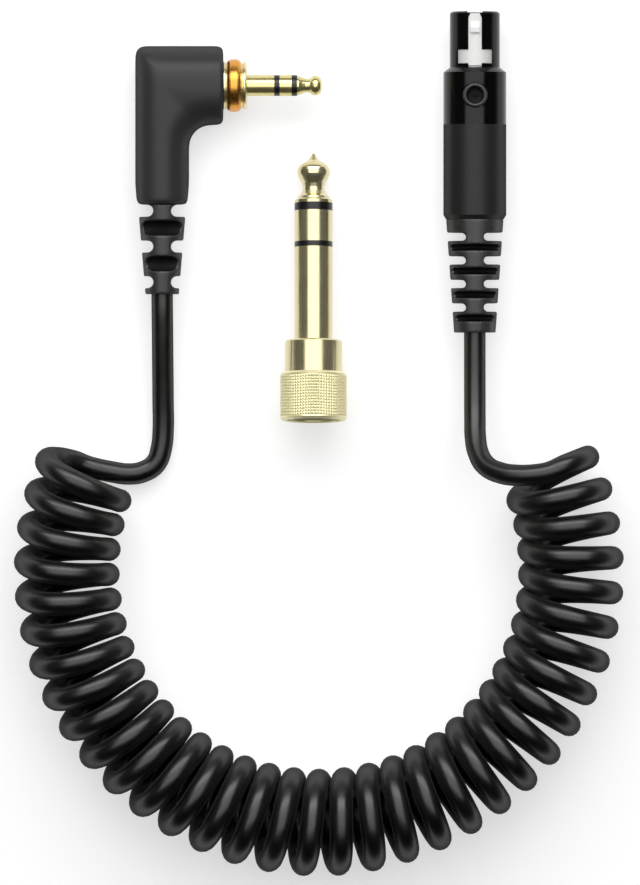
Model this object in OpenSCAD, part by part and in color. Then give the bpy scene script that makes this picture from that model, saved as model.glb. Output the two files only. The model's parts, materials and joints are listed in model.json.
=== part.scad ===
// Curly headphone cord: a right-angle 3.5 mm plug at one end, a latching mini XLR socket
// at the other, and a loose 6.35 mm adapter. Everything lies on the plane z = 0.
// The plug's pin points to +X and the socket's nose to +Y.

/* [Layout] */
// Middle of the socket along X
socket_x = 25.7; // [25:0.1:28]
// Front face of the socket along Y
socket_front_y = 34.3; // [34:0.1:36]
// Axis of the plug's pin along Y
jack_y = 22; // [21:0.1:23]
// Middle of the adapter along X
adapter_x = -1.2; // [-4:0.1:4]
// Middle of the cord's ring along X
ring_x = -0.4; // [-2:0.1:2]
// Middle of the cord's ring along Y
ring_y = -58.9; // [-60:0.1:-58]

/* [Cord] */
// Diameter of the cord's jacket
cord_d = 3.6; // [3.2:0.1:3.8]
// Radius of the ring, to the middle of the curls
ring_r = 42; // [41:0.5:43]
// Radius of one curl, to the middle of the cord
curl_r = 7; // [6.5:0.1:7.5]
// Ring angle of the first curl's outermost point
ring_start = 157.8; // [155:0.1:160]
// Ring angle of the last curl's outermost point
ring_end = 382.6; // [380:0.1:385]

/* [Plug housing] */
// Length of the head along the pin
head_l = 14.7; // [14:0.1:16]
// Height of the head across the pin
head_h = 13.2; // [12:0.1:14]
// Width of the stem
stem_w = 9; // [8.8:0.1:9.4]
// Thickness of the housing
body_t = 10; // [9.6:0.1:11]
// Rounding of the housing's long edges
edge_r = 4.4; // [3:0.1:4.4]
// Fillet between head and stem
elbow_r = 3.6; // [2.5:0.1:4]
// Lower end of the stem along Y
stem_end_y = 2.1; // [1:0.1:3]

/* [3.5 mm plug] */
// Diameter of the pin
jack_d = 3.5; // [3.45:0.01:3.55]
// Length of the threaded collar
collar_l = 4; // [3.6:0.1:4]
// Diameter of the threaded collar
collar_d = 8.8; // [8.2:0.1:8.8]
// Length of the sleeve contact in front of the collar
sleeve_l = 4.5; // [4.2:0.1:6]
// Length of each insulating band
band_l = 0.9; // [0.8:0.1:1.4]
// Length of the ring contact
ring_l = 2; // [1.4:0.1:2.2]
// Length of the tip contact
tip_l = 4.1; // [4:0.1:4.6]

/* [Mini XLR socket] */
// Diameter of the nose
nose_d = 8.35; // [8.3:0.05:8.4]
// Length of the nose, to the end of its shoulder
nose_l = 10.1; // [10:0.1:10.4]
// Diameter of barrel and sleeve
barrel_d = 10.5; // [10.4:0.1:11]
// Distance from the front face to the seam between barrel and sleeve
seam_s = 18.8; // [18.6:0.1:19]
// Distance from the front face to the back end of the sleeve
sleeve_end_s = 34.6; // [34:0.1:36]
// Distance from the front face to the middle of the release button
button_s = 14; // [13.8:0.1:14.4]
// Diameter of the release button
button_d = 4.1; // [3.8:0.1:4.2]
// Distance from the front face to the latch's pivot
pivot_s = 21.5; // [21.4:0.1:21.8]

/* [Adapter] */
// Diameter of the adapter's pin
big_d = 6.35; // [6.3:0.01:6.4]
// Length of the knurled grip
grip_l = 8; // [7.6:0.1:9.4]
// Diameter of the knurled grip
grip_d = 11.2; // [10.6:0.1:11.4]
// Length of the shoulder in front of the grip
shoulder_l = 5.4; // [5:0.1:6]
// Diameter of the shoulder
shoulder_d = 9.6; // [9.4:0.1:10.2]
// Length of the adapter's sleeve contact
big_sleeve_l = 15.6; // [15:0.1:16]
// Length of the adapter's ring contact
big_ring_l = 5.2; // [4.6:0.1:5.4]
// Length of the adapter's tip contact
big_tip_l = 8.4; // [8:0.1:8.8]
// Diameter of the socket that takes the small plug
socket_bore_d = 3.6; // [3.56:0.01:3.65]

/* [Hidden] */
$fn = 64;

slip = 0.05;                // gap round pieces that slide into each other
reach = 40;                 // longer than any piece that a cut goes through

black = "#1c1c1e";
dark_grey = "#2a2a2b";
gold = "#d8c27a";
bronze = "#c98a3a";
copper = "#b06a3a";
steel = "#dedede";

// Places
half_w = socket_x + barrel_d / 2;
jack_z = body_t / 2;
socket_z = barrel_d / 2;
coil_z = curl_r + cord_d / 2;
plug_left = -half_w;
stem_x = plug_left + stem_w / 2;
stem_right = plug_left + stem_w;
head_right = plug_left + head_l;
head_top = jack_y + head_h / 2;
head_bottom = jack_y - head_h / 2;

// Housing details
head_corner_r = 1.5;        // outer corner, seen from above
head_nose_r = 0.6;          // corners beside the collar
stem_taper = 0.3;           // each side, over the last taper_l of the stem
taper_l = 3.4;
chamber_r = 3.4;            // passage for the plug's back end
stem_bore_r = 2.7;          // passage for the wires
spigot_l = 4;               // part of the boot that sits in the stem

// Inner conductors
wire_d = 0.9;
bundle_r = 0.55;            // from the middle of the cord to the middle of a wire
wire_bore_r = 1.15;

// Boots
plug_boot_l = 14.9;
socket_boot_l = 18.9;
plug_boot_end_y = stem_end_y - plug_boot_l;
socket_boot_end_s = sleeve_end_s + socket_boot_l;
socket_boot_end_y = socket_front_y - socket_boot_end_s;
web_w = 2.9;                // what the slots leave standing

function unit(v) = v / norm(v);
function upright(v, t) = unit(v - (v * t) * t);
function tangents(p) = [for (i = [0 : len(p) - 1])
    unit(p[min(i + 1, len(p) - 1)] - p[max(i - 1, 0)])];
function arc(x, y, r, from, to, steps) = [for (i = [0 : steps])
    let (a = from + (to - from) * i / steps) [x + r * cos(a), y + r * sin(a)]];

// Carries one side vector along a route, so that the tube doesn't twist.
function side_vectors(t, first) = [for (
    i = 0, n = upright(first, t[0]);
    i < len(t);
    i = i + 1, n = i < len(t) ? upright(n, t[i]) : n
) n];

// A tube of diameter d along points, capped at both ends. No stretch of it may run along
// the vector first.
module tube(points, d, sides, first = [0, 0, 1]) {
    t = tangents(points);
    n = side_vectors(t, first);
    last = len(points) - 1;
    rings = [for (i = [0 : last]) for (k = [0 : sides - 1])
        let (a = 360 * k / sides)
        points[i] + d / 2 * (cos(a) * n[i] + sin(a) * cross(t[i], n[i]))];
    walls = [for (i = [0 : last - 1]) for (k = [0 : sides - 1])
        let (next = (k + 1) % sides, a = i * sides, b = (i + 1) * sides)
        [a + k, b + k, b + next, a + next]];
    front_cap = [for (k = [0 : sides - 1]) k];
    back_cap = [for (k = [sides - 1 : -1 : 0]) last * sides + k];
    polyhedron(rings, concat([front_cap], walls, [back_cap]));
}

// A round band with a bore, from z0 along +Z, with a thin tail back to tail_z.
module banded_tube(z0, length, d, bore_r, tail_r, tail_z) {
    rotate_extrude() polygon([
        [bore_r, tail_z], [tail_r, tail_z], [tail_r, z0],
        [d / 2, z0], [d / 2, z0 + length], [bore_r, z0 + length]
    ]);
}

// A pipe from z0 to z1.
module pipe(z0, z1, r_in, r_out) {
    translate([0, 0, z0]) difference() {
        cylinder(h = z1 - z0, r = r_out);
        translate([0, 0, -1]) cylinder(h = z1 - z0 + 2, r = r_in);
    }
}

// The leads' points at the middle of the cord, from the coil to the boots.
floor_z = cord_d / 2;
plug_lead_points = [
    [-38.7, -41.6, floor_z], [-35.1, -42.4, floor_z], [-31.9, -42.8, floor_z],
    [-29.6, -42.4, floor_z], [-27.7, -40.9, floor_z], [-26.7, -38.4, floor_z],
    [-26.3, -35.2, floor_z], [-26.2, -31, 1.9], [-26.2, -27, 2.4],
    [-26.2, -23, 3.2], [-26.4, -19, 4.4], [stem_x, -15.5, jack_z],
    [stem_x, plug_boot_end_y, jack_z]
];
socket_lead_points = [
    [37.9, -42.5, 15.8], [35.6, -42.9, 15.7], [32.6, -43, 15], [29.9, -42.6, 13.8],
    [27.7, -41.3, 12.2], [26.4, -39.2, 10.5], [25.8, -36.6, 9], [25.7, -33.6, 7.6],
    [25.7, -30, 6.4], [25.7, -26, 5.5], [socket_x, -22.5, socket_z],
    [socket_x, socket_boot_end_y, socket_z]
];

module cord_plug_lead() {
    color(black) tube(plug_lead_points, cord_d, 8);
}

module cord_socket_lead() {
    color(black) tube(socket_lead_points, cord_d, 8);
}

// The curls' outer shape, a fat tube round the ring.
module cord_coil() {
    color(black)
    translate([ring_x, ring_y, coil_z])
    rotate([0, 0, ring_start])
    rotate_extrude(angle = ring_end - ring_start, $fn = 96)
    translate([ring_r, 0]) circle(r = curl_r + cord_d / 2, $fn = 48);
}

// A tapered boot along +Z. Slots from the two sides take turns with slots from front and
// back, so that a web is left through the middle each time.
module strain_relief(d0, d1, length, side_z, side_h, face_z, face_h, pitch, count) {
    difference() {
        cylinder(h = length, d1 = d0, d2 = d1);
        for (i = [0 : count - 1]) {
            translate([0, 0, side_z + i * pitch]) slot_pair(side_h);
            if (face_z + i * pitch + face_h < length)
                translate([0, 0, face_z + i * pitch])
                rotate([0, 0, 90]) slot_pair(face_h);
        }
    }
}

// Two slots with round inner ends, left and right of the web.
module slot_pair(h) {
    for (turn = [0, 180]) rotate([0, 0, turn])
        translate([web_w / 2 + h / 2, 0, h / 2])
        rotate([90, 0, 0]) {
            cylinder(h = reach, d = h, center = true, $fn = 32);
            translate([reach / 2, 0, 0]) cube([reach, h, reach], center = true);
        }
}

// Section of a slab with one rounded edge, which starts at u = 0.
module edged_slab(width) {
    flat = body_t / 2 - edge_r;
    for (side = [-1, 1]) translate([edge_r, side * flat]) circle(r = edge_r);
    translate([0, -flat]) square([edge_r, 2 * flat]);
    translate([edge_r, -body_t / 2]) square([width, body_t]);
}

// The housing seen from above, with its corners and its tapered end.
module housing_outline() {
    polygon(concat(
        [[stem_right - stem_taper, stem_end_y], [stem_right, stem_end_y + taper_l],
            [stem_right, head_bottom - elbow_r], [stem_right + elbow_r, head_bottom]],
        arc(head_right - head_nose_r, head_bottom + head_nose_r, head_nose_r, -90, 0, 4),
        arc(head_right - head_nose_r, head_top - head_nose_r, head_nose_r, 0, 90, 4),
        arc(plug_left + head_corner_r, head_top - head_corner_r, head_corner_r, 90, 180, 8),
        [[plug_left, stem_end_y + taper_l], [plug_left + stem_taper, stem_end_y]]
    ));
}

// Every long edge is rounded: the outer ones where slabs cross, the inner ones where
// slabs join, with a turned piece as the fillet of the elbow.
module housing_form() {
    intersection() {
        linear_extrude(body_t, center = true) housing_outline();
        translate([plug_left, 0, 0]) rotate([90, 0, 0])
            linear_extrude(2 * reach, center = true) edged_slab(reach);
        translate([0, head_top, 0]) rotate([0, -90, 0]) rotate([0, 0, -90])
            linear_extrude(2 * reach, center = true) edged_slab(reach);
        union() {
            translate([stem_right, 0, 0]) rotate([90, 0, 180])
                linear_extrude(2 * reach, center = true) edged_slab(reach);
            translate([0, head_bottom, 0]) rotate([0, -90, 0]) rotate([0, 0, 90])
                linear_extrude(2 * reach, center = true) edged_slab(reach);
            translate([stem_right + elbow_r, head_bottom - elbow_r, 0])
                rotate([0, 0, 90]) rotate_extrude(angle = 90)
                translate([elbow_r, 0]) edged_slab(stem_w);
        }
    }
}

module on_jack(t = 0) {
    translate([head_right + t, jack_y, jack_z]) rotate([0, 90, 0]) children();
}

seat_t = 2;                 // wall that the sleeve's flange bears on
shank_r = 2.4;              // sleeve contact inside the collar
flange_r = 3.2;

module plug_housing() {
    color(black) difference() {
        translate([0, 0, jack_z]) housing_form();
        on_jack(-seat_t) cylinder(h = reach, r = shank_r + slip);
        on_jack(stem_w / 2 - head_l) cylinder(h = head_l - stem_w / 2 - seat_t, r = chamber_r);
        translate([stem_x, jack_y, jack_z]) rotate([90, 0, 0])
            cylinder(h = reach, r = stem_bore_r);
        translate([stem_x, jack_y, jack_z]) sphere(r = chamber_r);
    }
}

module plug_boot() {
    color(black)
    translate([stem_x, stem_end_y, jack_z]) rotate([90, 0, 0]) difference() {
        union() {
            strain_relief(8.1, 5.6, plug_boot_l, 0, 2, 2.65, 2.5, 5.95, 3);
            translate([0, 0, -spigot_l]) cylinder(h = spigot_l, r = stem_bore_r - slip);
        }
        translate([0, 0, -reach]) cylinder(h = 2 * reach, r = wire_bore_r);
    }
}

// A thin flange, a groove, the rounded ring that carries the thread, and a low nose.
module plug_collar() {
    r = collar_d / 2;
    round_r = 1;
    round_start = 0.5;
    round_end = collar_l - 0.9;
    nose_out_r = r - 0.4;
    nose_r = 0.35;
    color(bronze) on_jack() rotate_extrude() polygon(concat(
        [[shank_r + slip, 0], [r - 0.55, 0], [r - 0.4, 0.12], [r - 0.4, 0.35],
            [r - 0.75, 0.45]],
        arc(r - round_r, round_start + round_r, round_r, -75, 0, 6),
        arc(r - round_r, round_end - round_r, round_r, 0, 65, 5),
        [[r - 0.7, round_end + 0.1]],
        arc(nose_out_r - nose_r, collar_l - 0.1 - nose_r, nose_r, -15, 60, 4),
        [[3.1, collar_l], [shank_r + slip, collar_l]]
    ));
}

sleeve_t = collar_l + sleeve_l;
ring_t = sleeve_t + band_l;
front_band_t = ring_t + ring_l;
tip_t = front_band_t + band_l;

module plug_sleeve() {
    color(gold) on_jack() rotate_extrude() polygon([
        [1.3, -seat_t - 1], [flange_r, -seat_t - 1], [flange_r, -seat_t],
        [shank_r, -seat_t], [shank_r, collar_l], [jack_d / 2, collar_l],
        [jack_d / 2, sleeve_t], [1.3, sleeve_t]
    ]);
}

module plug_rear_insulator() {
    color(black) on_jack() banded_tube(sleeve_t, band_l, jack_d, 1, 1.25, -3.6);
}

module plug_ring() {
    color(gold) on_jack() banded_tube(ring_t, ring_l, jack_d, 0.75, 0.95, -4.4);
}

module plug_front_insulator() {
    color(black) on_jack() banded_tube(front_band_t, band_l, jack_d, 0.5, 0.7, -5);
}

tip_rod_end = -5.8;

module plug_tip() {
    rod_r = 0.45;
    color(gold) on_jack() rotate_extrude() translate([0, tip_t]) polygon(concat(
        [[0, tip_rod_end - tip_t], [rod_r, tip_rod_end - tip_t], [rod_r, 0], [1.65, 0],
            [1.6, 0.3], [1.36, 0.85], [1.16, 1.4], [1.1, 1.8], [1.2, 2.15]],
        arc(0.6, tip_l - 1.05, 1.05, -40, 90, 10),
        [[0, tip_l]]
    ));
}

module plug_crimp() {
    color(steel)
    translate([stem_x, stem_end_y + spigot_l, jack_z]) rotate([-90, 0, 0])
    pipe(0, 2.4, wire_bore_r, 1.7);
}

// From the cord's end up the stem, each to the back of its own contact.
module plug_wires() {
    backs = [[tip_rod_end, 0, 0], [-4.4, -0.6, 1.04], [-3, -1.1, -1.9]];
    color(copper) for (i = [0 : 2]) {
        a = [210, 90, 330][i];
        side = [bundle_r * cos(a), 0, bundle_r * sin(a)];
        back = [head_right, jack_y, jack_z] + backs[i];
        tube([
            [stem_x, plug_boot_end_y, jack_z] + side, [stem_x, jack_y - 2.5, jack_z] + side,
            back - [2, 0.8, 0], back - [0.8, 0, 0], back
        ], wire_d, 8);
    }
}

// Local +Z runs from the front face to the back, and local +Y points up.
module on_socket(s = 0) {
    translate([socket_x, socket_front_y - s, socket_z]) rotate([90, 0, 0]) children();
}

nose_r = nose_d / 2;
barrel_r = barrel_d / 2;
nose_bore_r = 3.45;
barrel_bore_r = 4.5;
step_s = 10.6;              // where the nose's bore opens into the barrel's
thread_r = 4.9;             // spigot that the sleeve screws on
thread_l = 2;
insert_end_s = 23;
contact_places = [[-1.5, 0.4], [1.5, 0.4], [0, -1.6]];
contact_r = 0.7;

// Latch
plate_in_r = 3.4;
plate_out_r = 3.9;
plate_w = 2.2;
arm_in_r = 2.9;
cross_w = 5.6;
cross_s = 6.4;              // front edge of the crossbar
cross_l = 2.25;
tail_s = 9;                 // back end of the T
latch_room = 0.15;          // round the latch in the shell
pivot_y = 3.15;
pivot_r = 0.45;
pocket_y = 1.3;             // floor of the spring's pocket

// A box across the middle from s0 to s1, open upwards from y0.
module box_above(half_width, s0, s1, y0) {
    translate([-half_width, y0, s0]) cube([2 * half_width, reach, s1 - s0]);
}

module socket_shell() {
    color(black) on_socket() difference() {
        rotate_extrude() polygon([
            [nose_bore_r, 0], [nose_r - 0.3, 0], [nose_r, 0.3], [nose_r, nose_l - 0.8],
            [barrel_r, nose_l], [barrel_r, seam_s], [thread_r, seam_s],
            [thread_r, seam_s + thread_l], [barrel_bore_r, seam_s + thread_l],
            [barrel_bore_r, step_s], [nose_bore_r, step_s]
        ]);
        box_above(plate_w / 2 + latch_room, -1, nose_l - 0.75, 1.2);
        box_above(cross_w / 2 + latch_room, cross_s - latch_room,
            cross_s + cross_l + latch_room, 1.2);
        translate([0, 0, button_s]) rotate([-90, 0, 0])
            cylinder(h = reach, d = button_d + 0.3);
    }
}

// The floor under the latch, low enough for the plate when it is pressed.
module latch_channel() {
    difference() {
        union() {
            box_above(1.5, -1, reach, 0.9);
            box_above(cross_w / 2 + 0.3, cross_s - 0.2, cross_s + cross_l + 0.3, 0.9);
        }
        translate([0, -0.9, -2]) cylinder(h = 2 * reach, r = arm_in_r);
    }
}

module socket_insert() {
    front_s = 0.3;
    color(dark_grey) on_socket() difference() {
        rotate_extrude() polygon([
            [0, front_s], [nose_bore_r - slip, front_s], [nose_bore_r - slip, step_s],
            [barrel_bore_r - 0.1, step_s], [barrel_bore_r - 0.1, insert_end_s],
            [0, insert_end_s]
        ]);
        latch_channel();
        for (place = contact_places) translate([place.x, place.y, 0]) {
            translate([0, 0, -1]) cylinder(h = reach, r = 0.55, $fn = 24);
            translate([0, 0, front_s + 0.4]) cylinder(h = reach, r = contact_r + slip, $fn = 24);
        }
        translate([0, pocket_y, button_s]) rotate([-90, 0, 0])
            cylinder(h = 3, r = 0.9, $fn = 24);
        translate([0, pivot_y, pivot_s]) {
            rotate([0, 90, 0]) cylinder(h = 4.6, r = pivot_r + slip, center = true, $fn = 24);
            translate([-2.3, 0, -pivot_r - slip]) cube([4.6, 3, 2 * (pivot_r + slip)]);
        }
    }
}

// A contact tube, open at the front for a pin and at the back for its wire.
module contact(place) {
    front_s = 0.7;
    color(gold) on_socket() translate([place.x, place.y, 0]) difference() {
        translate([0, 0, front_s]) cylinder(h = 23.8, r = contact_r, $fn = 24);
        translate([0, 0, -1]) cylinder(h = 11, r = 0.5, $fn = 24);
        translate([0, 0, insert_end_s]) cylinder(h = 5, r = 0.5, $fn = 24);
    }
}

module contact_left() {
    contact(contact_places[0]);
}

module contact_right() {
    contact(contact_places[1]);
}

module contact_lower() {
    contact(contact_places[2]);
}

// A curved T at the front, a lower arm behind it, a hooked tooth and the pivot.
module latch_plate() {
    color(steel) on_socket() {
        intersection() {
            pipe(0, tail_s, plate_in_r, plate_out_r);
            union() {
                rotate([-90, 0, 0]) linear_extrude(reach) polygon([
                    [-0.75, -0.35], [0.75, -0.35], [plate_w / 2, -1.1],
                    [plate_w / 2, -tail_s], [-plate_w / 2, -tail_s], [-plate_w / 2, -1.1]
                ]);
                box_above(cross_w / 2, cross_s, cross_s + cross_l, 0);
            }
        }
        intersection() {
            pipe(cross_s, pivot_s, arm_in_r, plate_in_r + slip);
            box_above(plate_w / 2, cross_s, pivot_s, 0);
        }
        intersection() {
            cylinder(h = 6, r = nose_r + 0.22);
            rotate([0, -90, 0]) linear_extrude(1.5, center = true)
                polygon([[1.3, 3.7], [2.8, 4.4], [3.5, 4.4], [3.5, 3.7]]);
        }
        translate([0, pivot_y, pivot_s]) rotate([0, 90, 0])
            cylinder(h = 4.4, r = pivot_r, center = true, $fn = 24);
    }
}

// The coil spring that lifts the latch.
module latch_spring() {
    coils = 4;
    steps = 10;
    spring_r = 0.62;
    spring_wire = 0.24;
    foot = pocket_y + spring_wire / 2;
    head = arm_in_r - 0.1 - spring_wire / 2;
    color(steel)
    translate([socket_x, socket_front_y - button_s, socket_z])
    tube([for (i = [0 : coils * steps])
        let (a = 360 * i / steps)
        [spring_r * cos(a), spring_r * sin(a), foot + (head - foot) * i / (coils * steps)]],
        spring_wire, 6);
}

// A round head with a raised rim and a dished middle, on a stem with two tabs that
// keep it in the barrel.
module release_button() {
    head_r = button_d / 2;
    rim_r = 0.3;
    top = barrel_r + 0.35;
    color(black)
    translate([socket_x, socket_front_y - button_s, socket_z]) {
        rotate_extrude() {
            polygon([
                [0, 3.53], [0.6, 3.53], [1.1, 3.85], [1.1, 4.55], [head_r, 4.55],
                [head_r, top - rim_r], [head_r - 2 * rim_r, top - rim_r],
                [head_r - 0.8, top - 0.65], [0.4, top - 0.65], [0.3, top - 0.45],
                [0, top - 0.4]
            ]);
            translate([head_r - rim_r, top - rim_r]) circle(r = rim_r, $fn = 32);
        }
        translate([0, 0, 4.05]) cube([2.2, 5.8, 0.4], center = true);
    }
}

module socket_sleeve() {
    color(dark_grey) on_socket() rotate_extrude() polygon([
        [thread_r + slip, seam_s], [barrel_r, seam_s], [barrel_r, sleeve_end_s - 0.7],
        [barrel_r - 0.42, sleeve_end_s], [3.95, sleeve_end_s], [3.95, insert_end_s],
        [4.45, insert_end_s], [4.45, seam_s + thread_l + slip],
        [thread_r + slip, seam_s + thread_l + slip]
    ]);
}

module cable_clamp() {
    color(steel) on_socket() difference() {
        pipe(27.2, 29.2, wire_bore_r, 3.9);
        translate([-0.4, 0, 27]) cube([0.8, reach, 3]);
    }
}

module socket_boot() {
    color(black) on_socket(sleeve_end_s) difference() {
        union() {
            strain_relief(9.6, 6.95, socket_boot_l, 2.25, 1.38, 4.2, 1.1, 3.93, 4);
            translate([0, 0, -5.4]) cylinder(h = 5.4, r = 3.9);
        }
        translate([0, 0, -reach]) cylinder(h = 2 * reach, r = wire_bore_r);
    }
}

// From the cord's end through boot and clamp into the back of each contact.
module socket_wires() {
    color(copper) on_socket() for (i = [0 : 2]) {
        a = [150, 30, 270][i];
        side = bundle_r * [cos(a), sin(a)];
        place = contact_places[i];
        tube([
            [side.x, side.y, socket_boot_end_s], [side.x, side.y, 27],
            [place.x, place.y, 25.2], [place.x, place.y, insert_end_s]
        ], wire_d, 8, [1, 0, 0]);
    }
}

// Distances v run from the back end to the tip.
grip_edge = 0.4;            // chamfers of grip and shoulder
shoulder_v = grip_l + shoulder_l;
sleeve_end_v = shoulder_v + big_sleeve_l;
rear_band_l = 0.9;
front_band_l = 1.3;
big_ring_v = sleeve_end_v + rear_band_l;
front_band_v = big_ring_v + big_ring_l;
big_tip_v = front_band_v + front_band_l;
tip_end_v = big_tip_v + big_tip_l;

// It rests on the grip's front edge and on the widest ring of its tip.
bulge_r = 2.75;
bulge_v = tip_end_v - 3.2;
rest_v = grip_l - grip_edge;
tilt = atan((grip_d / 2 - bulge_r) / (bulge_v - rest_v));
adapter_y = -socket_front_y + (grip_d / 2 - grip_edge) * sin(tilt);
adapter_z = rest_v * sin(tilt) + grip_d / 2 * cos(tilt);

module on_adapter() {
    translate([adapter_x, adapter_y, adapter_z]) rotate([-90 - tilt, 0, 0]) children();
}

recess_r = 4.5;             // thread for the small plug's collar
recess_l = 4.1;
body_bore_r = 3.65;
flange_v = 10.4;             // the sleeve's flange, held in the shoulder
insert_front_v = 20.8;

module adapter_grip() {
    r = grip_d / 2;
    color(gold) on_adapter() rotate_extrude() polygon([
        [recess_r, 0], [r - grip_edge, 0], [r, grip_edge], [r, grip_l - grip_edge],
        [r - grip_edge, grip_l], [body_bore_r, grip_l], [body_bore_r, recess_l],
        [recess_r, recess_l]
    ]);
}

module adapter_shoulder() {
    r = shoulder_d / 2;
    color(gold) on_adapter() rotate_extrude() polygon([
        [body_bore_r, grip_l], [r, grip_l], [r, shoulder_v - 0.25], [r - 0.25, shoulder_v],
        [3.45, shoulder_v], [3.45, flange_v + 2], [4.2 + slip, flange_v + 2],
        [4.2 + slip, flange_v], [body_bore_r, flange_v]
    ]);
}

module adapter_sleeve() {
    color(gold) on_adapter() rotate_extrude() polygon([
        [2.6, flange_v], [4.2, flange_v], [4.2, flange_v + 2], [3.4, flange_v + 2],
        [3.4, shoulder_v], [big_d / 2, shoulder_v], [big_d / 2, sleeve_end_v],
        [2.6, sleeve_end_v]
    ]);
}

module adapter_rear_insulator() {
    color(black) on_adapter() banded_tube(sleeve_end_v, rear_band_l, big_d, 1.85, 2.5, 22);
}

module adapter_ring() {
    color(gold) on_adapter() banded_tube(big_ring_v, big_ring_l, big_d, 1.35, 1.8, 21.6);
}

module adapter_front_insulator() {
    color(black) on_adapter() banded_tube(front_band_v, front_band_l, big_d, 0.85, 1.3, 21.2);
}

module adapter_tip() {
    rod_r = 0.8;
    color(gold) on_adapter() rotate_extrude() translate([0, big_tip_v]) polygon(concat(
        [[0, insert_front_v - big_tip_v], [rod_r, insert_front_v - big_tip_v], [rod_r, 0],
            [big_d / 2, 0], [big_d / 2, 0.5], [2.75, 0.75], [2.6, 1.1], [2.1, 1.55],
            [1.85, 2.1], [1.8, 2.7], [1.95, 3.3], [2.3, 3.9]],
        arc(bulge_r - 1.7, bulge_v - big_tip_v, 1.7, -25, 62, 7),
        [[0.95, big_tip_l - 1.2], [0.45, big_tip_l - 0.5], [0.2, big_tip_l - 0.1],
            [0, big_tip_l]]
    ));
}

spring_turn = 50;           // angle that each contact spring covers
window_room = 5;            // extra angle of its window, each side
spring_out_r = 2.35;
contact_w = 1.4;            // width of each contact spring
tip_spring_v = 14.2;
ring_spring_v = 9.6;
ground_spring_v = 5.8;

module window(turn, v0) {
    rotate([0, 0, turn - window_room])
        rotate_extrude(angle = spring_turn + 2 * window_room)
        translate([1, v0 - slip]) square([spring_out_r + slip - 1, contact_w + 2 * slip]);
}

module contact_spring(turn, v0) {
    color(gold) on_adapter() rotate([0, 0, turn]) rotate_extrude(angle = spring_turn)
        translate([socket_bore_d / 2, v0])
        square([spring_out_r - socket_bore_d / 2, contact_w]);
}

// The moulded socket for the small plug, with a window for each spring.
module adapter_insert() {
    color(dark_grey) on_adapter() difference() {
        rotate_extrude() polygon([
            [0, recess_l], [body_bore_r - slip, recess_l], [body_bore_r - slip, flange_v],
            [2.55, flange_v], [2.55, insert_front_v], [0, insert_front_v]
        ]);
        translate([0, 0, -1]) cylinder(h = insert_front_v, d = socket_bore_d);
        window(0, tip_spring_v);
        window(120, ring_spring_v);
        window(240, ground_spring_v);
    }
}

module adapter_tip_spring() {
    contact_spring(0, tip_spring_v);
}

module adapter_ring_spring() {
    contact_spring(120, ring_spring_v);
}

module adapter_ground_spring() {
    contact_spring(240, ground_spring_v);
}

cord_plug_lead();
cord_coil();
cord_socket_lead();
plug_housing();
plug_boot();
plug_collar();
plug_sleeve();
plug_rear_insulator();
plug_ring();
plug_front_insulator();
plug_tip();
plug_crimp();
plug_wires();
socket_shell();
socket_insert();
contact_left();
contact_right();
contact_lower();
latch_plate();
latch_spring();
release_button();
socket_sleeve();
cable_clamp();
socket_wires();
socket_boot();
adapter_grip();
adapter_shoulder();
adapter_sleeve();
adapter_rear_insulator();
adapter_ring();
adapter_front_insulator();
adapter_tip();
adapter_insert();
adapter_tip_spring();
adapter_ring_spring();
adapter_ground_spring();
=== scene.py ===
import json
import math

import bmesh
import bpy
from mathutils import Matrix, Vector


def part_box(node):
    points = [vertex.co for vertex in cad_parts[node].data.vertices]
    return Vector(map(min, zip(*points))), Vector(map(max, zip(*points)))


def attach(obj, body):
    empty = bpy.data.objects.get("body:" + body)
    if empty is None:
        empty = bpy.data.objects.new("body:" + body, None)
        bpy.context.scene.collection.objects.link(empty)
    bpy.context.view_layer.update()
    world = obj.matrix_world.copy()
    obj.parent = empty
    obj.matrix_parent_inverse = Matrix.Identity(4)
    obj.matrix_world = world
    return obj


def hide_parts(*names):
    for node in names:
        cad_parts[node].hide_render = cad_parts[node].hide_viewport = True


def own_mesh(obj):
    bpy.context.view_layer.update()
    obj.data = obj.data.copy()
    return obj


mm = 0.001

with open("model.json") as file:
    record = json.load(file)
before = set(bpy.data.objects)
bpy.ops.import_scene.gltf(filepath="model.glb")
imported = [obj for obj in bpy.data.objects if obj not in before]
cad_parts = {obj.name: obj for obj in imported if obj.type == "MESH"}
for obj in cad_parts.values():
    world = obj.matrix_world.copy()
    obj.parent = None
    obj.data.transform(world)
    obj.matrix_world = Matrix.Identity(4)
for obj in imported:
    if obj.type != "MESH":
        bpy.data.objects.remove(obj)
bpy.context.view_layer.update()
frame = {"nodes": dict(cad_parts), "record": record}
nodes = frame["nodes"]
print("frame loaded:", len(nodes), "nodes")


# Camera. It looks straight down on the floor the cord lies on.
view = {
    "x": -0.12,  # mm, middle of the frame
    "y": -37.54,
    "z": 7.0,  # mm, height at which the frame has its size
    "height": 147.5,  # mm
    "lens": 600.0,  # mm, long, so that near and far parts keep one scale
    "sensor": 36.0,
    "reach": 3,  # how far it sees, in its own distances from the floor
}


def placeCamera():
    data = bpy.data.cameras.new("camera")
    data.lens = view["lens"]
    data.sensor_width = view["sensor"]
    distance = view["height"] * view["lens"] / view["sensor"]
    data.clip_end = view["reach"] * distance * mm
    camera = bpy.data.objects.new("camera", data)
    camera.location = Vector((view["x"], view["y"], view["z"] + distance)) * mm
    bpy.context.scene.collection.objects.link(camera)
    bpy.context.scene.camera = camera


placeCamera()


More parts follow.
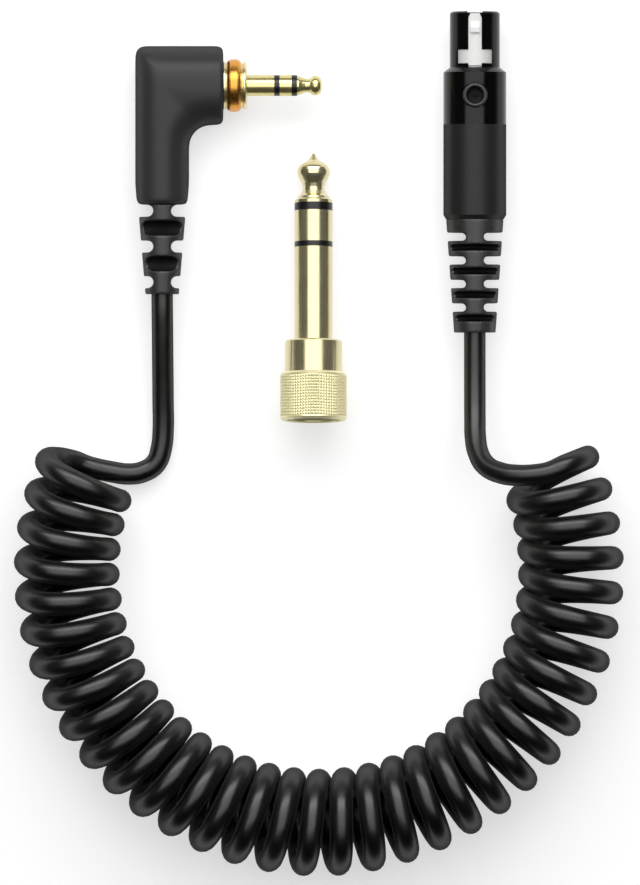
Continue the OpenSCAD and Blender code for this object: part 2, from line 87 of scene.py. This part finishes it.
# Cord: a straight lead from the plug, the curls round a ring, and a lead to the socket.
cord = {
    "diameter": 3.6,  # mm
    "ringX": -0.3,  # mm, middle of the ring
    "ringY": -58.8,
    "ringRadius": 42.08,
    "curlRadius": 6.85,
    "axisHeight": 8.82,
    "firstCurl": 157.57,  # degrees round the ring, at the first curl's outermost point
    "lastCurl": 382.74,
    "curls": 33,
    "extraTurn": 90.0,  # degrees of curl before the first and after the last of those
    "pointsPerCurl": 16,
    "lean": 0.119,  # how far the curls lean towards -Y
    # how a curl differs from a plain circle, by sines and cosines of its turn
    "sway": (-0.109, 0.179, 0.053, -0.043),  # degrees along the ring: sin, cos, sin 2, cos 2
    "swell": (0.478, 0.123, -0.115),  # mm across the ring: sin, sin 2, cos 2
    # degrees that the curls drift along the ring, in half a wave end to end and in a whole one
    "crowd": (-0.167, -0.087),
    "bulge": 1.09,  # how much thicker the jacket is where it was wound and baked
    "blendTurn": 200.0,  # degrees of curl over which an end joins its lead
    "length": 1.54,  # m, from boot to boot
    "roundness": 7,  # bevel steps round the cord
    "smoothness": 4,  # steps along it between two points
}
plugBootEnd = (-26.45, -12.8, 5.0)
socketBootEnd = (25.7, -19.2, 5.25)
plugLead = [  # mm, from the boot to the first curl
    (-26.45, -11.8, 5.0), plugBootEnd, (-26.43, -15.5, 4.9), (-26.4, -19, 4.4),
    (-26.37, -23, 3.7), (-26.34, -27, 3.0), (-26.32, -31, 2.35), (-26.3, -35.2, 1.9),
    (-26.6, -38.4, 1.8), (-27.55, -41, 1.8), (-29.6, -42.4, 1.8), (-31.9, -42.8, 1.8),
    (-35.1, -42.4, 1.8), (-38.7, -41.6, 1.8),
]
socketLead = [  # mm, from the last curl to the boot
    (37.9, -42.5, 15.8), (35.6, -42.9, 15.7), (32.6, -43, 15), (29.9, -42.6, 13.8),
    (27.5, -41.4, 12.2), (26.2, -39.2, 10.5), (25.75, -36.6, 9), (25.7, -33.6, 7.6),
    (25.7, -30, 6.4), (25.7, -26, 5.5), (25.7, -22.5, 5.25), socketBootEnd,
    (25.7, -18.2, 5.25),
]


def curlPoint(turn):
    # turn counts degrees of curl from the first curl's outermost point
    step = (cord["lastCurl"] - cord["firstCurl"]) / cord["curls"]
    phase = math.radians(turn)
    sine, cosine = math.sin(phase), math.cos(phase)
    sine2, cosine2 = math.sin(2 * phase), math.cos(2 * phase)
    share = turn / 360 / cord["curls"]  # of the way along the ring
    sway, swell, crowd = cord["sway"], cord["swell"], cord["crowd"]
    around = math.radians(
        cord["firstCurl"] + step * turn / 360
        + sway[0] * sine + sway[1] * cosine + sway[2] * sine2 + sway[3] * cosine2
        + crowd[0] * math.sin(math.pi * share) + crowd[1] * math.sin(2 * math.pi * share))
    reach = (cord["ringRadius"] + cord["curlRadius"] * cosine
             + swell[0] * sine + swell[1] * sine2 + swell[2] * cosine2)
    rise = cord["curlRadius"] * sine
    return Vector((
        cord["ringX"] + reach * math.cos(around),
        cord["ringY"] + reach * math.sin(around) - cord["lean"] * rise,
        cord["axisHeight"] + rise,
    ))


def curlPoints():
    start = -cord["extraTurn"]
    end = 360 * cord["curls"] + cord["extraTurn"]
    startShift = Vector(plugLead[-1]) - curlPoint(start)
    endShift = Vector(socketLead[0]) - curlPoint(end)
    count = round((end - start) / 360 * cord["pointsPerCurl"])
    points = []
    for i in range(1, count):
        turn = start + (end - start) * i / count
        fromStart = min(1, (turn - start) / cord["blendTurn"])
        fromEnd = min(1, (end - turn) / cord["blendTurn"])
        points.append(curlPoint(turn) + startShift * (1 - fromStart) ** 2
                      + endShift * (1 - fromEnd) ** 2)
    return points


def makeCord():
    route = [Vector(p) for p in plugLead] + curlPoints() + [Vector(p) for p in socketLead]
    data = bpy.data.curves.new("curlyCord", "CURVE")
    data.dimensions = "3D"
    data.bevel_depth = 1  # m, which each point's radius brings down to the cord's
    data.bevel_resolution = cord["roundness"]
    data.resolution_u = cord["smoothness"]
    data.use_fill_caps = True
    spline = data.splines.new("BEZIER")
    spline.bezier_points.add(len(route) - 1)
    curled = range(len(plugLead), len(route) - len(socketLead))
    for i, (place, point) in enumerate(zip(route, spline.bezier_points)):
        point.co = place * mm
        point.radius = cord["diameter"] / 2 * mm * (cord["bulge"] if i in curled else 1)
        point.handle_left_type = "AUTO"
        point.handle_right_type = "AUTO"
    piece = bpy.data.objects.new("curlyCord", data)
    bpy.context.scene.collection.objects.link(piece)
    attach(piece, "cable")
    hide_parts("cord_plug_lead", "cord_coil", "cord_socket_lead")
    length = sum((b - a).length for a, b in zip(route[1:], route[2:-1]))
    print("cord:", len(route), "points,", round(length), "mm")
    return piece


curlyCord = makeCord()


meshing = {
    "join": 0.001,  # mm, points closer than this become one
    "crease": 35,  # degrees between two faces, past which their edge stays sharp
    "relax": 0.5,  # share of the way a point moves in each pass of relaxing
}


def finishPiece(name, sheet, body, slotName, *replaced):
    # makes a piece of a finished bmesh
    bmesh.ops.remove_doubles(sheet, verts=sheet.verts, dist=meshing["join"] * mm)
    bmesh.ops.recalc_face_normals(sheet, faces=sheet.faces)
    crease = math.radians(meshing["crease"])
    for face in sheet.faces:
        face.smooth = True
    for edge in sheet.edges:
        if len(edge.link_faces) == 2 and edge.calc_face_angle(0) > crease:
            edge.smooth = False
    data = bpy.data.meshes.new(name)
    sheet.to_mesh(data)
    sheet.free()
    piece = bpy.data.objects.new(name, data)
    bpy.context.scene.collection.objects.link(piece)
    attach(piece, body)
    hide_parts(*replaced)
    return piece


def spinProfile(sheet, profile, steps):
    # turns (radius, height) pairs in mm once round the Z axis
    corners = [sheet.verts.new((r * mm, 0, z * mm)) for r, z in profile]
    lines = [sheet.edges.new(pair) for pair in zip(corners, corners[1:])]
    bmesh.ops.spin(sheet, geom=corners + lines, cent=(0, 0, 0), axis=(0, 0, 1),
                   angle=2 * math.pi, steps=steps, use_merge=True)
    bmesh.ops.remove_doubles(sheet, verts=sheet.verts, dist=meshing["join"] * mm)


# Plug housing: moulded in one piece, so head and stem run into each other without a line,
# and its faces are slightly crowned.
housing = {
    "cell": 0.25,  # mm, size of the cells the form is rebuilt with
    "passes": 60,  # how often its surface is relaxed
    "axis": (-26.45, 22.0, 5.0),  # mm, where the axes of head and stem cross
    "headHalf": 6.5,  # mm, half the width of the head and of the stem
    "stemHalf": 5.85,
    "crown": 0.3,  # share of the depth lost at the edges
    "blend": 3,  # how sharply the crowns of head and stem meet
}


def crownDrop(x, y):
    # 0 on the axes of head and stem, 1 at their edges, with a soft change between the two;
    # the outer side, where x is below 0, stays flat
    head = min(1, abs(y) / housing["headHalf"]) ** 2
    stem = min(1, max(0, x) / housing["stemHalf"]) ** 2
    if y > 0:
        return head
    if head * stem == 0:
        return 0
    return (head ** -housing["blend"] + stem ** -housing["blend"]) ** (-1 / housing["blend"])


def softCopy(name, cell, passes):
    # a node's form in a new bmesh, rebuilt in cells of that size in mm and then relaxed
    sheet = bmesh.new()
    sheet.from_mesh(nodes[name].data)
    bmesh.ops.remove_doubles(sheet, verts=sheet.verts, dist=meshing["join"] * mm)
    draft = bpy.data.objects.new("draft", bpy.data.meshes.new("draft"))
    sheet.to_mesh(draft.data)
    bpy.context.scene.collection.objects.link(draft)
    rebuild = draft.modifiers.new("rebuild", "REMESH")
    rebuild.mode = "VOXEL"
    rebuild.voxel_size = cell * mm
    relax = draft.modifiers.new("relax", "SMOOTH")
    relax.factor = meshing["relax"]
    relax.iterations = passes
    finished = draft.evaluated_get(bpy.context.evaluated_depsgraph_get())
    sheet.clear()
    sheet.from_mesh(finished.to_mesh())
    bpy.data.objects.remove(draft)
    return sheet


def makeHousing():
    sheet = softCopy("plug_housing", housing["cell"], housing["passes"])
    axis = Vector(housing["axis"]) * mm
    for vert in sheet.verts:
        away = (vert.co - axis) / mm
        vert.co.z = axis.z + away.z * mm * (1 - housing["crown"] * crownDrop(away.x, away.y))
    return finishPiece("mouldedHousing", sheet, "cable", "housing_plastic", "plug_housing")


# Boots: moulded elastomer, whose slots and flanges have no sharp edges; deep in the slots they
# carry a painted shade.
boots = {
    "cell": 0.16,  # mm, as for the housing
    "passes": 5,
    "shadeDepth": 0.3,  # mm below the taper, where the painted shade of the slots starts
    # axis of each taper, its two ends along Y, and its radii there
    "plug_boot": {"x": -26.45, "z": 5.0, "top": 2.1, "end": -12.8, "radii": (4.05, 2.8)},
    "socket_boot": {"x": 25.7, "z": 5.25, "top": -0.3, "end": -19.2, "radii": (4.8, 3.475)},
}


def inSlotShade(taper, place):
    # whether a place on a boot lies well below its taper, and not on its end face: the places
    # that get the painted shade of the slots
    x, y, z = place / mm
    share = (y - taper["end"]) / (taper["top"] - taper["end"])
    radius = share * taper["radii"][0] + (1 - share) * taper["radii"][1]
    depth = radius - math.hypot(x - taper["x"], z - taper["z"])
    return depth > boots["shadeDepth"] and y > taper["end"] + boots["shadeDepth"]


def makeBoot(name, nodeName):
    sheet = softCopy(nodeName, boots["cell"], boots["passes"])
    # faces deep in the slots take the second material, the painted shade
    for face in sheet.faces:
        if inSlotShade(boots[nodeName], face.calc_center_median()):
            face.material_index = 1
    return finishPiece(name, sheet, "cable", "boot_rubber", nodeName)


# Release button: a rounded rim round a dish with a small knob in its middle; the dish is painted
# dark as shade, the rim painted lighter as a sheen.
button = {
    "x": 25.7,  # mm, its axis
    "y": 20.3,
    "base": 5.25,  # height of the socket's axis
    "rim": 1.7,  # radius of the rim's ridge
    "rimRound": 0.35,
    "top": 5.6,  # over the socket's axis, as all its heights are
    "under": [  # radius and height, from the middle of its foot to the rim
        (0, 3.53), (0.6, 3.53), (1.1, 3.85), (1.1, 4.55), (1.9, 4.55), (2.05, 4.7),
    ],
    "dish": [  # from the rim to the top of the knob
        (1.3, 4.95), (1.15, 4.82), (0.8, 4.76), (0.36, 4.75), (0.3, 4.9), (0.16, 4.98), (0, 5),
    ],
    "dishRadius": 1.34,
    "dishFloor": 4.6,
    "arcStep": 20,  # degrees from point to point on the rim's ridge
    "steps": 56,
    "tab": (2.2, 5.8, 0.4),  # the plate through its foot, which keeps it in the barrel
    "tabHeight": 4.05,
}


def makeButton():
    sheet = bmesh.new()
    ridge = button["top"] - button["rimRound"]
    rim = [(button["rim"] + button["rimRound"] * math.cos(math.radians(a)),
            ridge + button["rimRound"] * math.sin(math.radians(a)))
           for a in range(0, 181, button["arcStep"])]
    spinProfile(sheet, button["under"] + rim + button["dish"], button["steps"])
    # faces of the dish take the second material, the painted shade; the rest of the button, rim
    # and foot, takes the painted sheen
    for face in sheet.faces:
        x, y, z = face.calc_center_median() / mm
        if math.hypot(x, y) < button["dishRadius"] and z > button["dishFloor"]:
            face.material_index = 1
    tabs = bmesh.ops.create_cube(sheet, size=1)["verts"]
    bmesh.ops.scale(sheet, vec=[side * mm for side in button["tab"]], verts=tabs)
    bmesh.ops.translate(sheet, vec=(0, 0, button["tabHeight"] * mm), verts=tabs)
    bmesh.ops.translate(sheet, verts=sheet.verts, vec=(
        button["x"] * mm, button["y"] * mm, button["base"] * mm))
    return finishPiece("dishedButton", sheet, "button", "housing_plastic", "release_button")


# Adapter's grip: a knurled cup with a thread inside.
grip = {
    "place": (-1.2, -33.8656, 6.2153),  # mm, its back end, which lies on the axis
    "tilt": 4.7915,  # degrees that the adapter's tip hangs lower
    "radius": 5.6,
    "length": 8.0,
    "recess": 4.5,  # radius and depth of the threaded recess
    "recessDepth": 4.1,
    "bore": 3.65,
    "chamfer": 0.35,  # at both ends
    "lip": 0.12,  # chamfer at the recess's mouth
    "knurlFrom": 0.6,
    "knurlTo": 7.4,
    "knurlDepth": 0.13,
    "plainOver": 0.05,  # how far the plain ends stand over the knurl's valleys
    "rows": 14,
    "around": 72,
    "threadFrom": 0.4,
    "threadFree": 0.6,  # length of the recess without a thread
    "threadPitch": 0.5,
    "threadDepth": 0.14,
}


def makeGrip():
    sheet = bmesh.new()
    core = grip["radius"] - grip["knurlDepth"]
    plain = core + grip["plainOver"]
    chamfer, lip = grip["chamfer"], grip["lip"]
    rows = grip["rows"]
    band = [(core, grip["knurlFrom"] + (grip["knurlTo"] - grip["knurlFrom"]) * i / rows)
            for i in range(rows + 1)]
    turns = round((grip["recessDepth"] - grip["threadFree"]) / grip["threadPitch"])
    thread = [(grip["recess"] - (grip["threadDepth"] if i % 2 else 0),
               grip["threadFrom"] + grip["threadPitch"] * i / 2) for i in range(2 * turns + 1)]
    back = [(grip["recess"], lip), (grip["recess"] + lip, 0), (plain - chamfer, 0),
            (plain, chamfer)]
    front = [(plain, grip["length"] - chamfer), (plain - chamfer, grip["length"]),
             (grip["bore"], grip["length"]), (grip["bore"], grip["recessDepth"]),
             (grip["recess"], grip["recessDepth"])]
    profile = back + band + front + thread[::-1]
    spinProfile(sheet, profile + profile[:1], grip["around"])
    cells = []
    for face in sheet.faces:
        x, y, z = face.calc_center_median() / mm
        outside = math.hypot(x, y) > core - grip["plainOver"]
        if outside and grip["knurlFrom"] < z < grip["knurlTo"]:
            cells.append(face)
    bmesh.ops.recalc_face_normals(sheet, faces=sheet.faces)
    bmesh.ops.poke(sheet, faces=cells, offset=grip["knurlDepth"] * mm)
    turn = Matrix.Rotation(math.radians(-90 - grip["tilt"]), 4, "X")
    shift = Matrix.Translation(Vector(grip["place"]) * mm)
    bmesh.ops.transform(sheet, matrix=shift @ turn, verts=sheet.verts)
    return finishPiece("knurledGrip", sheet, "adapter", "matte_gold", "adapter_grip")


# Latch spring: coils of round wire, which the latch presses together as it rocks; here it is
# wound once, to the height of its part's box.
spring = {
    "coils": 4,
    "radius": 0.62,  # mm, to the middle of the wire
    "wire": 0.24,
    "sides": 8,
    "stepsPerCoil": 16,
    "travel": 0.37,  # mm that the latch presses it together
}


def makeSpring():
    low, high = [Vector(corner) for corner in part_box("latch_spring")]
    height = high.z - low.z - spring["wire"] * mm
    steps = spring["coils"] * spring["stepsPerCoil"]
    sheet = bmesh.new()
    bmesh.ops.create_circle(sheet, segments=spring["sides"], radius=spring["wire"] / 2 * mm)
    bmesh.ops.rotate(sheet, verts=sheet.verts, cent=(0, 0, 0),
                     matrix=Matrix.Rotation(math.radians(90), 3, "X"))
    bmesh.ops.translate(sheet, verts=sheet.verts, vec=(spring["radius"] * mm, 0, 0))
    bmesh.ops.spin(sheet, geom=sheet.verts[:] + sheet.edges[:], cent=(0, 0, 0),
                   axis=(0, 0, 1), dvec=(0, 0, height / steps),
                   angle=2 * math.pi * spring["coils"], steps=steps)
    bmesh.ops.holes_fill(sheet, edges=sheet.edges, sides=spring["sides"])
    foot = Vector(((low.x + high.x) / 2, (low.y + high.y) / 2, low.z))
    bmesh.ops.translate(sheet, verts=sheet.verts,
                        vec=foot + Vector((0, 0, spring["wire"] / 2 * mm)))
    piece = finishPiece("woundSpring", sheet, "cable", "plain_steel", "latch_spring")
    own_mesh(piece)
    return piece


mouldedHousing = makeHousing()
softPlugBoot = makeBoot("softPlugBoot", "plug_boot")
softSocketBoot = makeBoot("softSocketBoot", "socket_boot")
dishedButton = makeButton()
knurledGrip = makeGrip()
woundSpring = makeSpring()
print("pieces made: housing, boots, button, grip, spring")


# Materials
def linear(hexColour):
    # turns an sRGB hex value into linear colour
    parts = [int(hexColour[i:i + 2], 16) / 255 for i in (1, 3, 5)]
    return tuple(c / 12.92 if c < 0.04045 else ((c + 0.055) / 1.055) ** 2.4
                 for c in parts) + (1.0,)


def addNode(tree, kind, settings=None, links=None):
    # settings go to the node's properties or to its inputs, links from sockets to inputs
    made = tree.nodes.new(kind)
    for name, value in (settings or {}).items():
        if isinstance(name, str) and hasattr(made, name):
            setattr(made, name, value)
        else:
            made.inputs[name].default_value = value
    for name, socket in (links or {}).items():
        tree.links.new(socket, made.inputs[name])
    return made


def newMaterial(name, colour, roughness, metallic=0.0, **extra):
    material = bpy.data.materials.new(name)
    material.use_nodes = True
    tree = material.node_tree
    tree.nodes.clear()
    shader = addNode(tree, "ShaderNodeBsdfPrincipled", {
        "Base Color": linear(colour), "Roughness": roughness, "Metallic": metallic, **extra})
    addNode(tree, "ShaderNodeOutputMaterial", links={"Surface": shader.outputs[0]})
    return material, tree, shader


mottling = {
    "noise": (0.35, 0.65),  # the range that the noise mostly keeps to
    "graze": (0.3, 0.8),  # where the bloom starts and is full: 0 face on, 1 edge on
}


def mottle(tree, shader, size, low, high, edge=0.0):
    # lets the roughness wander between low and high in patches of the given size in mm;
    # edge is how much rougher it looks at a grazing angle, where a bloom on it shows
    coords = addNode(tree, "ShaderNodeTexCoord")
    noise = addNode(tree, "ShaderNodeTexNoise", {"Scale": 1 / (size * mm), "Detail": 3.0},
                    {"Vector": coords.outputs["Object"]})
    spread = addNode(tree, "ShaderNodeMapRange", {
        "From Min": mottling["noise"][0], "From Max": mottling["noise"][1],
        "To Min": low, "To Max": high}, {"Value": noise.outputs[0]})
    if edge:
        graze = addNode(tree, "ShaderNodeLayerWeight")
        bloom = addNode(tree, "ShaderNodeMapRange", {
            "interpolation_type": "SMOOTHSTEP", "From Min": mottling["graze"][0],
            "From Max": mottling["graze"][1], "To Min": 0.0, "To Max": edge},
            {"Value": graze.outputs["Facing"]})
        spread = addNode(tree, "ShaderNodeMath", {"operation": "ADD"},
                         {0: spread.outputs[0], 1: bloom.outputs[0]})
    tree.links.new(spread.outputs[0], shader.inputs["Roughness"])


def grain(tree, shader, size, depth):
    # raises a fine texture: grains of size mm, depth mm deep
    coords = addNode(tree, "ShaderNodeTexCoord")
    noise = addNode(tree, "ShaderNodeTexNoise", {"Scale": 1 / (size * mm), "Detail": 2.0},
                    {"Vector": coords.outputs["Object"]})
    bump = addNode(tree, "ShaderNodeBump", {"Strength": 1.0, "Distance": depth * mm},
                   {"Height": noise.outputs[0]})
    tree.links.new(bump.outputs[0], shader.inputs["Normal"])


def extrudedPvc():
    # soft PVC jacket, drawn smooth: near black with a broad soft sheen
    material, tree, shader = newMaterial("extrudedPvc", "#030303", 0.33,
                                         **{"Specular IOR Level": 0.6})
    mottle(tree, shader, 2.5, 0.3, 0.37, 0.55)
    return material


def mouldedAbs():
    # moulded ABS with a fine spark finish: dark grey, satin
    material, tree, shader = newMaterial("mouldedAbs", "#2d2d2e", 0.42,
                                         **{"Specular IOR Level": 0.3})
    mottle(tree, shader, 2.0, 0.4, 0.45, 0.4)
    grain(tree, shader, 0.25, 0.004)
    return material


def mouldedTpe():
    # moulded elastomer of the boots: a little greyer and duller than the jacket
    material, tree, shader = newMaterial("mouldedTpe", "#282829", 0.38,
                                         **{"Specular IOR Level": 0.65})
    mottle(tree, shader, 1.5, 0.35, 0.42, 0.4)
    return material


def slotShadeTpe():
    # painted shade for the deep parts of the boots' slots: nearly black and without shine, as
    # they look in their own shade; the fine grain is a real bump
    material, tree, shader = newMaterial("slotShadeTpe", "#080808", 0.7,
                                         **{"Specular IOR Level": 0.2})
    grain(tree, shader, 0.2, 0.01)
    return material


def goldPlate():
    # thin gold over nickel, polished: pale, slightly green gold
    material, tree, shader = newMaterial("goldPlate", "#ddd2a6", 0.23, 0.9)
    mottle(tree, shader, 3.0, 0.21, 0.25)
    return material


def hardGold():
    # thicker gold on the small plug's contacts, which wear more: deeper yellow
    material, tree, shader = newMaterial("hardGold", "#dacd8e", 0.23, 0.9)
    mottle(tree, shader, 1.5, 0.21, 0.26)
    return material


collarFinish = {
    "pale": "#e9dcae",  # flange and nose
    "warm": "#d99a46",  # the rounded ring between them
    "from": -15.6,  # mm along X, where the ring starts and ends
    "to": -13.3,
    "blend": 0.1,  # mm over which the colour changes, to each side of those
}


def bronzePlate():
    # lacquered brass: the rounded ring is turned bare and orange, flange and nose are pale
    material, tree, shader = newMaterial("bronzePlate", collarFinish["warm"], 0.24, 1.0)
    mottle(tree, shader, 0.6, 0.26, 0.34)
    coords = addNode(tree, "ShaderNodeTexCoord")
    split = addNode(tree, "ShaderNodeSeparateXYZ", links={"Vector": coords.outputs["Object"]})
    middle = (collarFinish["from"] + collarFinish["to"]) / 2 * mm
    half = (collarFinish["to"] - collarFinish["from"]) / 2 * mm
    away = addNode(tree, "ShaderNodeMath", {"operation": "SUBTRACT", 1: middle},
                   {0: split.outputs["X"]})
    apart = addNode(tree, "ShaderNodeMath", {"operation": "ABSOLUTE"}, {0: away.outputs[0]})
    margin = collarFinish["blend"] * mm
    blend = addNode(tree, "ShaderNodeMapRange", {"From Min": half - margin,
                                                 "From Max": half + margin},
                    {"Value": apart.outputs[0]})
    colour = addNode(tree, "ShaderNodeMix", {"data_type": "RGBA",
                                             6: linear(collarFinish["warm"]),
                                             7: linear(collarFinish["pale"])},
                     {0: blend.outputs[0]})
    tree.links.new(colour.outputs[2], shader.inputs["Base Color"])
    return material


def beadBlastedGold():
    # plated over a knurled and blasted blank: pale and matte
    material, tree, shader = newMaterial("beadBlastedGold", "#fbf3c2", 0.42, 0.65)
    grain(tree, shader, 0.12, 0.006)
    return material


def blackPbt():
    # moulded PBT of bands and inserts
    material, tree, shader = newMaterial("blackPbt", "#070605", 0.36)
    mottle(tree, shader, 0.8, 0.32, 0.42)
    return material


def nickelSteel():
    # stamped spring steel with bright nickel: pale grey
    material, tree, shader = newMaterial("nickelSteel", "#dadad8", 0.58, 0.35)
    mottle(tree, shader, 0.7, 0.54, 0.63)
    return material


def blackEnamel():
    # baked gloss enamel over die-cast zinc: deep black, sharp reflections
    material, tree, shader = newMaterial("blackEnamel", "#030303", 0.18,
                                         **{"Specular IOR Level": 0.27})
    mottle(tree, shader, 2.0, 0.16, 0.2)
    return material


def powderCoat():
    # matte black coating of the rear sleeve
    material, tree, shader = newMaterial("powderCoat", "#1b1b1b", 0.42,
                                         **{"Specular IOR Level": 0.32})
    mottle(tree, shader, 2.0, 0.4, 0.45, 0.4)
    grain(tree, shader, 0.15, 0.006)
    return material


def rimSheenAbs():
    # the button's rim, moulded in ABS: painted a lighter grey than the barrel and the dish, as a
    # painted sheen on it
    material, tree, shader = newMaterial("rimSheenAbs", "#262627", 0.34)
    mottle(tree, shader, 1.0, 0.3, 0.38)
    return material


def dishShadeAbs():
    # painted shade for the button's dish: nearly black and without shine, as the hollow looks in
    # its own shade; the fine grain is a real bump
    material, tree, shader = newMaterial("dishShadeAbs", "#050505", 0.7,
                                         **{"Specular IOR Level": 0.2})
    grain(tree, shader, 0.15, 0.01)
    return material


def pvcInsulation():
    # coloured insulation of the inner conductors
    material, tree, shader = newMaterial("pvcInsulation", "#8c2f1e", 0.45)
    mottle(tree, shader, 1.0, 0.4, 0.5)
    return material


finishes = {
    "cord_jacket": extrudedPvc(),
    "housing_plastic": mouldedAbs(),
    "boot_rubber": mouldedTpe(),
    "bronze_plating": bronzePlate(),
    "gold_plating": goldPlate(),
    "matte_gold": beadBlastedGold(),
    "black_insulator": blackPbt(),
    "plain_steel": nickelSteel(),
    "black_enamel": blackEnamel(),
    "matte_coating": powderCoat(),
    "wire_insulation": pvcInsulation(),
}


def dressNodes():
    slots = {part["node"]: part["material_slot"] for part in frame["record"]["subparts"]}
    plugFinish = hardGold()
    for name, node in nodes.items():
        node.data.materials.clear()
        if name in ("plug_sleeve", "plug_ring", "plug_tip"):
            node.data.materials.append(plugFinish)
        else:
            node.data.materials.append(finishes[slots[name]])


curlyCord.data.materials.append(finishes["cord_jacket"])
mouldedHousing.data.materials.append(finishes["housing_plastic"])
# the boots' second material is the painted shade of their slots
slotShadeFinish = slotShadeTpe()
for boot in (softPlugBoot, softSocketBoot):
    boot.data.materials.append(finishes["boot_rubber"])
    boot.data.materials.append(slotShadeFinish)
# the button's rim carries a painted sheen, its dish a painted shade
dishedButton.data.materials.append(rimSheenAbs())
dishedButton.data.materials.append(dishShadeAbs())
knurledGrip.data.materials.append(finishes["matte_gold"])
woundSpring.data.materials.append(finishes["plain_steel"])
dressNodes()
print("materials on", len(nodes), "nodes")


# Studio: a pale floor, a wide soft box overhead, a brighter one behind, and weak sides.
studio = {
    "floorSize": 6.0,  # m
    "floorDrop": 0.05,  # mm under the cord, so that the two don't flicker
    "floorColour": "#b8b8b8",
    "floorGlow": 0.61,  # what the white floor gets on top of its own light
    "skyLow": 0.2,  # brightness of the world at the horizon
    "skyHigh": 0.02,  # and overhead
    "skyBlend": (0.02, 0.4),  # height between which it changes, 0 level and 1 overhead
    "target": (0, -0.03, 0),  # m, what the lamps face
}
lights = {  # places and sizes in m, power in W
    "overheadBox": {"place": (0, 0.1, 0.58), "size": (0.8, 0.5), "power": 2.6},
    "backBox": {"place": (0, 0.42, 0.4), "size": (0.8, 0.26), "power": 3.0},
    "leftStrip": {"place": (-0.5, -0.03, 0.3), "size": (0.5, 0.2), "power": 0.02},
    "rightStrip": {"place": (0.5, -0.03, 0.3), "size": (0.5, 0.2), "power": 0.02},
}


def makeFloor():
    sheet = bmesh.new()
    bmesh.ops.create_grid(sheet, x_segments=1, y_segments=1, size=studio["floorSize"] / 2)
    bmesh.ops.translate(sheet, vec=(0, 0, -studio["floorDrop"] * mm), verts=sheet.verts)
    data = bpy.data.meshes.new("floor")
    sheet.to_mesh(data)
    sheet.free()
    # matt white paint; for the camera and in reflections it glows up to a full white
    material, tree, shader = newMaterial("paintedFloor", studio["floorColour"], 0.9)
    shader.inputs["Emission Color"].default_value = (1, 1, 1, 1)
    path = addNode(tree, "ShaderNodeLightPath")
    direct = addNode(tree, "ShaderNodeMath", {"operation": "ADD"}, {
        0: path.outputs["Is Camera Ray"], 1: path.outputs["Is Glossy Ray"]})
    seen = addNode(tree, "ShaderNodeMath", {"operation": "ADD"}, {
        0: direct.outputs[0], 1: path.outputs["Is Transmission Ray"]})
    glow = addNode(tree, "ShaderNodeMath", {"operation": "MULTIPLY", 1: studio["floorGlow"]},
                   {0: seen.outputs[0]})
    tree.links.new(glow.outputs[0], shader.inputs["Emission Strength"])
    data.materials.append(material)
    piece = bpy.data.objects.new("floor", data)
    bpy.context.scene.collection.objects.link(piece)


def makeWorld():
    # pale at the horizon, dark overhead
    world = bpy.data.worlds.new("studio")
    bpy.context.scene.world = world
    world.use_nodes = True
    tree = world.node_tree
    tree.nodes.clear()
    coords = addNode(tree, "ShaderNodeTexCoord")
    split = addNode(tree, "ShaderNodeSeparateXYZ", links={"Vector": coords.outputs["Generated"]})
    sky = addNode(tree, "ShaderNodeMapRange", {
        "interpolation_type": "SMOOTHSTEP", "From Min": studio["skyBlend"][0],
        "From Max": studio["skyBlend"][1], "To Min": studio["skyLow"],
        "To Max": studio["skyHigh"]}, {"Value": split.outputs["Z"]})
    back = addNode(tree, "ShaderNodeBackground", {"Color": (1, 1, 1, 1)},
                   {"Strength": sky.outputs[0]})
    addNode(tree, "ShaderNodeOutputWorld", links={"Surface": back.outputs[0]})


def makeLights():
    target = Vector(studio["target"])
    for name, values in lights.items():
        data = bpy.data.lights.new(name, "AREA")
        data.shape = "RECTANGLE"
        data.size, data.size_y = values["size"]
        data.energy = values["power"]
        lamp = bpy.data.objects.new(name, data)
        lamp.location = values["place"]
        lamp.visible_camera = False
        aim = target - lamp.location
        lamp.rotation_euler = aim.to_track_quat("-Z", "Y").to_euler()
        bpy.context.scene.collection.objects.link(lamp)


makeFloor()
makeWorld()
makeLights()
bpy.context.scene.view_settings.view_transform = "Standard"
print("studio ready")
